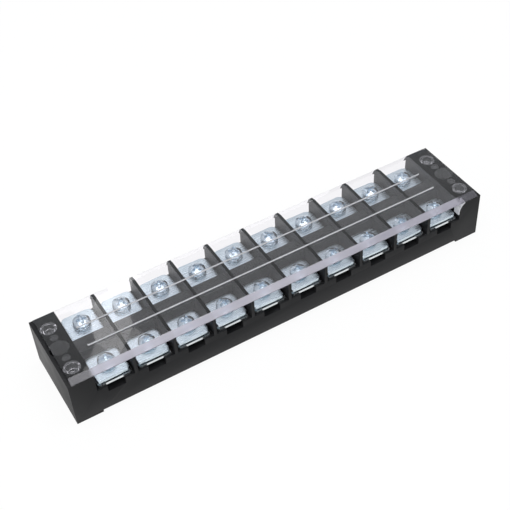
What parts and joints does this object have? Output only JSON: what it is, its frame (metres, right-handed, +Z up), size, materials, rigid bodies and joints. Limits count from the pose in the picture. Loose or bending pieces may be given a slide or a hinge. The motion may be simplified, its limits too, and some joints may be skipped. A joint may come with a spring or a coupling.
{
  "type": "barrier terminal strip",
  "caption": "Double-row barrier terminal strip: black moulded base with screw clamps between barriers and a clear cover that lifts off.",
  "frame": {"origin": "centre of the base's underside, at the mounting surface", "axes": "+X along the strip, +Z up from the mounting surface to the cover, -Y towards the front row"},
  "size_m": [0.195, 0.039, 0.0243],
  "materials": {
    "base_plastic": "moulded, semi-matt black",
    "clear_plastic": "clear moulded, polished",
    "conductor_plating": "bright plated",
    "plate_zinc": "blue zinc plated",
    "screw_zinc": "blue zinc plated",
    "nut_steel": "zinc plated"
  },
  "bodies": {
    "strip": {"base": "base_plastic", "nuts_front": "nut_steel", "nuts_back": "nut_steel", "conductor_01": "conductor_plating", "conductor_02": "conductor_plating", "conductor_03": "conductor_plating", "conductor_04": "conductor_plating", "conductor_05": "conductor_plating", "conductor_06": "conductor_plating", "conductor_07": "conductor_plating", "conductor_08": "conductor_plating", "conductor_09": "conductor_plating", "conductor_10": "conductor_plating"},
    "cover": {"cover": "clear_plastic"},
    "clamp_front_01": {"plate_front_01": "plate_zinc"},
    "screw_front_01": {"screw_front_01": "screw_zinc"},
    "clamp_front_02": {"plate_front_02": "plate_zinc"},
    "screw_front_02": {"screw_front_02": "screw_zinc"},
    "clamp_front_03": {"plate_front_03": "plate_zinc"},
    "screw_front_03": {"screw_front_03": "screw_zinc"},
    "clamp_front_04": {"plate_front_04": "plate_zinc"},
    "screw_front_04": {"screw_front_04": "screw_zinc"},
    "clamp_front_05": {"plate_front_05": "plate_zinc"},
    "screw_front_05": {"screw_front_05": "screw_zinc"},
    "clamp_front_06": {"plate_front_06": "plate_zinc"},
    "screw_front_06": {"screw_front_06": "screw_zinc"},
    "clamp_front_07": {"plate_front_07": "plate_zinc"},
    "screw_front_07": {"screw_front_07": "screw_zinc"},
    "clamp_front_08": {"plate_front_08": "plate_zinc"},
    "screw_front_08": {"screw_front_08": "screw_zinc"},
    "clamp_front_09": {"plate_front_09": "plate_zinc"},
    "screw_front_09": {"screw_front_09": "screw_zinc"},
    "clamp_front_10": {"plate_front_10": "plate_zinc"},
    "screw_front_10": {"screw_front_10": "screw_zinc"},
    "clamp_back_01": {"plate_back_01": "plate_zinc"},
    "screw_back_01": {"screw_back_01": "screw_zinc"},
    "clamp_back_02": {"plate_back_02": "plate_zinc"},
    "screw_back_02": {"screw_back_02": "screw_zinc"},
    "clamp_back_03": {"plate_back_03": "plate_zinc"},
    "screw_back_03": {"screw_back_03": "screw_zinc"},
    "clamp_back_04": {"plate_back_04": "plate_zinc"},
    "screw_back_04": {"screw_back_04": "screw_zinc"},
    "clamp_back_05": {"plate_back_05": "plate_zinc"},
    "screw_back_05": {"screw_back_05": "screw_zinc"},
    "clamp_back_06": {"plate_back_06": "plate_zinc"},
    "screw_back_06": {"screw_back_06": "screw_zinc"},
    "clamp_back_07": {"plate_back_07": "plate_zinc"},
    "screw_back_07": {"screw_back_07": "screw_zinc"},
    "clamp_back_08": {"plate_back_08": "plate_zinc"},
    "screw_back_08": {"screw_back_08": "screw_zinc"},
    "clamp_back_09": {"plate_back_09": "plate_zinc"},
    "screw_back_09": {"screw_back_09": "screw_zinc"},
    "clamp_back_10": {"plate_back_10": "plate_zinc"},
    "screw_back_10": {"screw_back_10": "screw_zinc"}
  },
  "joints": [
    {"name": "cover_lift", "type": "slide", "parent": "strip", "child": "cover", "axis": [0, 0, 1], "range_m": [0, 0.03]},
    {"name": "clamp_front_01_lift", "type": "slide", "parent": "strip", "child": "clamp_front_01", "axis": [0, 0, 1], "range_m": [0, 0.0021]},
    {"name": "screw_front_01_turn", "type": "hinge", "parent": "clamp_front_01", "child": "screw_front_01", "pos_m": [-0.07875, -0.0115, 0.01635], "axis": [0, 0, 1], "range_deg": [0, 1081]},
    {"name": "clamp_front_02_lift", "type": "slide", "parent": "strip", "child": "clamp_front_02", "axis": [0, 0, 1], "range_m": [0, 0.0021]},
    {"name": "screw_front_02_turn", "type": "hinge", "parent": "clamp_front_02", "child": "screw_front_02", "pos_m": [-0.06125, -0.0115, 0.01635], "axis": [0, 0, 1], "range_deg": [0, 1081]},
    {"name": "clamp_front_03_lift", "type": "slide", "parent": "strip", "child": "clamp_front_03", "axis": [0, 0, 1], "range_m": [0, 0.0021]},
    {"name": "screw_front_03_turn", "type": "hinge", "parent": "clamp_front_03", "child": "screw_front_03", "pos_m": [-0.04375, -0.0115, 0.01635], "axis": [0, 0, 1], "range_deg": [0, 1081]},
    {"name": "clamp_front_04_lift", "type": "slide", "parent": "strip", "child": "clamp_front_04", "axis": [0, 0, 1], "range_m": [0, 0.0021]},
    {"name": "screw_front_04_turn", "type": "hinge", "parent": "clamp_front_04", "child": "screw_front_04", "pos_m": [-0.02625, -0.0115, 0.01635], "axis": [0, 0, 1], "range_deg": [0, 1081]},
    {"name": "clamp_front_05_lift", "type": "slide", "parent": "strip", "child": "clamp_front_05", "axis": [0, 0, 1], "range_m": [0, 0.0021]},
    {"name": "screw_front_05_turn", "type": "hinge", "parent": "clamp_front_05", "child": "screw_front_05", "pos_m": [-0.00875, -0.0115, 0.01635], "axis": [0, 0, 1], "range_deg": [0, 1081]},
    {"name": "clamp_front_06_lift", "type": "slide", "parent": "strip", "child": "clamp_front_06", "axis": [0, 0, 1], "range_m": [0, 0.0021]},
    {"name": "screw_front_06_turn", "type": "hinge", "parent": "clamp_front_06", "child": "screw_front_06", "pos_m": [0.00875, -0.0115, 0.01635], "axis": [0, 0, 1], "range_deg": [0, 1081]},
    {"name": "clamp_front_07_lift", "type": "slide", "parent": "strip", "child": "clamp_front_07", "axis": [0, 0, 1], "range_m": [0, 0.0021]},
    {"name": "screw_front_07_turn", "type": "hinge", "parent": "clamp_front_07", "child": "screw_front_07", "pos_m": [0.02625, -0.0115, 0.01635], "axis": [0, 0, 1], "range_deg": [0, 1081]},
    {"name": "clamp_front_08_lift", "type": "slide", "parent": "strip", "child": "clamp_front_08", "axis": [0, 0, 1], "range_m": [0, 0.0021]},
    {"name": "screw_front_08_turn", "type": "hinge", "parent": "clamp_front_08", "child": "screw_front_08", "pos_m": [0.04375, -0.0115, 0.01635], "axis": [0, 0, 1], "range_deg": [0, 1081]},
    {"name": "clamp_front_09_lift", "type": "slide", "parent": "strip", "child": "clamp_front_09", "axis": [0, 0, 1], "range_m": [0, 0.0021]},
    {"name": "screw_front_09_turn", "type": "hinge", "parent": "clamp_front_09", "child": "screw_front_09", "pos_m": [0.06125, -0.0115, 0.01635], "axis": [0, 0, 1], "range_deg": [0, 1081]},
    {"name": "clamp_front_10_lift", "type": "slide", "parent": "strip", "child": "clamp_front_10", "axis": [0, 0, 1], "range_m": [0, 0.0021]},
    {"name": "screw_front_10_turn", "type": "hinge", "parent": "clamp_front_10", "child": "screw_front_10", "pos_m": [0.07875, -0.0115, 0.01635], "axis": [0, 0, 1], "range_deg": [0, 1081]},
    {"name": "clamp_back_01_lift", "type": "slide", "parent": "strip", "child": "clamp_back_01", "axis": [0, 0, 1], "range_m": [0, 0.0021]},
    {"name": "screw_back_01_turn", "type": "hinge", "parent": "clamp_back_01", "child": "screw_back_01", "pos_m": [-0.07875, 0.0115, 0.01635], "axis": [0, 0, 1], "range_deg": [0, 1081]},
    {"name": "clamp_back_02_lift", "type": "slide", "parent": "strip", "child": "clamp_back_02", "axis": [0, 0, 1], "range_m": [0, 0.0021]},
    {"name": "screw_back_02_turn", "type": "hinge", "parent": "clamp_back_02", "child": "screw_back_02", "pos_m": [-0.06125, 0.0115, 0.01635], "axis": [0, 0, 1], "range_deg": [0, 1081]},
    {"name": "clamp_back_03_lift", "type": "slide", "parent": "strip", "child": "clamp_back_03", "axis": [0, 0, 1], "range_m": [0, 0.0021]},
    {"name": "screw_back_03_turn", "type": "hinge", "parent": "clamp_back_03", "child": "screw_back_03", "pos_m": [-0.04375, 0.0115, 0.01635], "axis": [0, 0, 1], "range_deg": [0, 1081]},
    {"name": "clamp_back_04_lift", "type": "slide", "parent": "strip", "child": "clamp_back_04", "axis": [0, 0, 1], "range_m": [0, 0.0021]},
    {"name": "screw_back_04_turn", "type": "hinge", "parent": "clamp_back_04", "child": "screw_back_04", "pos_m": [-0.02625, 0.0115, 0.01635], "axis": [0, 0, 1], "range_deg": [0, 1081]},
    {"name": "clamp_back_05_lift", "type": "slide", "parent": "strip", "child": "clamp_back_05", "axis": [0, 0, 1], "range_m": [0, 0.0021]},
    {"name": "screw_back_05_turn", "type": "hinge", "parent": "clamp_back_05", "child": "screw_back_05", "pos_m": [-0.00875, 0.0115, 0.01635], "axis": [0, 0, 1], "range_deg": [0, 1081]},
    {"name": "clamp_back_06_lift", "type": "slide", "parent": "strip", "child": "clamp_back_06", "axis": [0, 0, 1], "range_m": [0, 0.0021]},
    {"name": "screw_back_06_turn", "type": "hinge", "parent": "clamp_back_06", "child": "screw_back_06", "pos_m": [0.00875, 0.0115, 0.01635], "axis": [0, 0, 1], "range_deg": [0, 1081]},
    {"name": "clamp_back_07_lift", "type": "slide", "parent": "strip", "child": "clamp_back_07", "axis": [0, 0, 1], "range_m": [0, 0.0021]},
    {"name": "screw_back_07_turn", "type": "hinge", "parent": "clamp_back_07", "child": "screw_back_07", "pos_m": [0.02625, 0.0115, 0.01635], "axis": [0, 0, 1], "range_deg": [0, 1081]},
    {"name": "clamp_back_08_lift", "type": "slide", "parent": "strip", "child": "clamp_back_08", "axis": [0, 0, 1], "range_m": [0, 0.0021]},
    {"name": "screw_back_08_turn", "type": "hinge", "parent": "clamp_back_08", "child": "screw_back_08", "pos_m": [0.04375, 0.0115, 0.01635], "axis": [0, 0, 1], "range_deg": [0, 1081]},
    {"name": "clamp_back_09_lift", "type": "slide", "parent": "strip", "child": "clamp_back_09", "axis": [0, 0, 1], "range_m": [0, 0.0021]},
    {"name": "screw_back_09_turn", "type": "hinge", "parent": "clamp_back_09", "child": "screw_back_09", "pos_m": [0.06125, 0.0115, 0.01635], "axis": [0, 0, 1], "range_deg": [0, 1081]},
    {"name": "clamp_back_10_lift", "type": "slide", "parent": "strip", "child": "clamp_back_10", "axis": [0, 0, 1], "range_m": [0, 0.0021]},
    {"name": "screw_back_10_turn", "type": "hinge", "parent": "clamp_back_10", "child": "screw_back_10", "pos_m": [0.07875, 0.0115, 0.01635], "axis": [0, 0, 1], "range_deg": [0, 1081]}
  ],
  "couplings": [
    {"joint": "screw_front_01_turn", "follows": "clamp_front_01_lift", "rad_per_m": 8976},
    {"joint": "screw_front_02_turn", "follows": "clamp_front_02_lift", "rad_per_m": 8976},
    {"joint": "screw_front_03_turn", "follows": "clamp_front_03_lift", "rad_per_m": 8976},
    {"joint": "screw_front_04_turn", "follows": "clamp_front_04_lift", "rad_per_m": 8976},
    {"joint": "screw_front_05_turn", "follows": "clamp_front_05_lift", "rad_per_m": 8976},
    {"joint": "screw_front_06_turn", "follows": "clamp_front_06_lift", "rad_per_m": 8976},
    {"joint": "screw_front_07_turn", "follows": "clamp_front_07_lift", "rad_per_m": 8976},
    {"joint": "screw_front_08_turn", "follows": "clamp_front_08_lift", "rad_per_m": 8976},
    {"joint": "screw_front_09_turn", "follows": "clamp_front_09_lift", "rad_per_m": 8976},
    {"joint": "screw_front_10_turn", "follows": "clamp_front_10_lift", "rad_per_m": 8976},
    {"joint": "screw_back_01_turn", "follows": "clamp_back_01_lift", "rad_per_m": 8976},
    {"joint": "screw_back_02_turn", "follows": "clamp_back_02_lift", "rad_per_m": 8976},
    {"joint": "screw_back_03_turn", "follows": "clamp_back_03_lift", "rad_per_m": 8976},
    {"joint": "screw_back_04_turn", "follows": "clamp_back_04_lift", "rad_per_m": 8976},
    {"joint": "screw_back_05_turn", "follows": "clamp_back_05_lift", "rad_per_m": 8976},
    {"joint": "screw_back_06_turn", "follows": "clamp_back_06_lift", "rad_per_m": 8976},
    {"joint": "screw_back_07_turn", "follows": "clamp_back_07_lift", "rad_per_m": 8976},
    {"joint": "screw_back_08_turn", "follows": "clamp_back_08_lift", "rad_per_m": 8976},
    {"joint": "screw_back_09_turn", "follows": "clamp_back_09_lift", "rad_per_m": 8976},
    {"joint": "screw_back_10_turn", "follows": "clamp_back_10_lift", "rad_per_m": 8976}
  ]
}
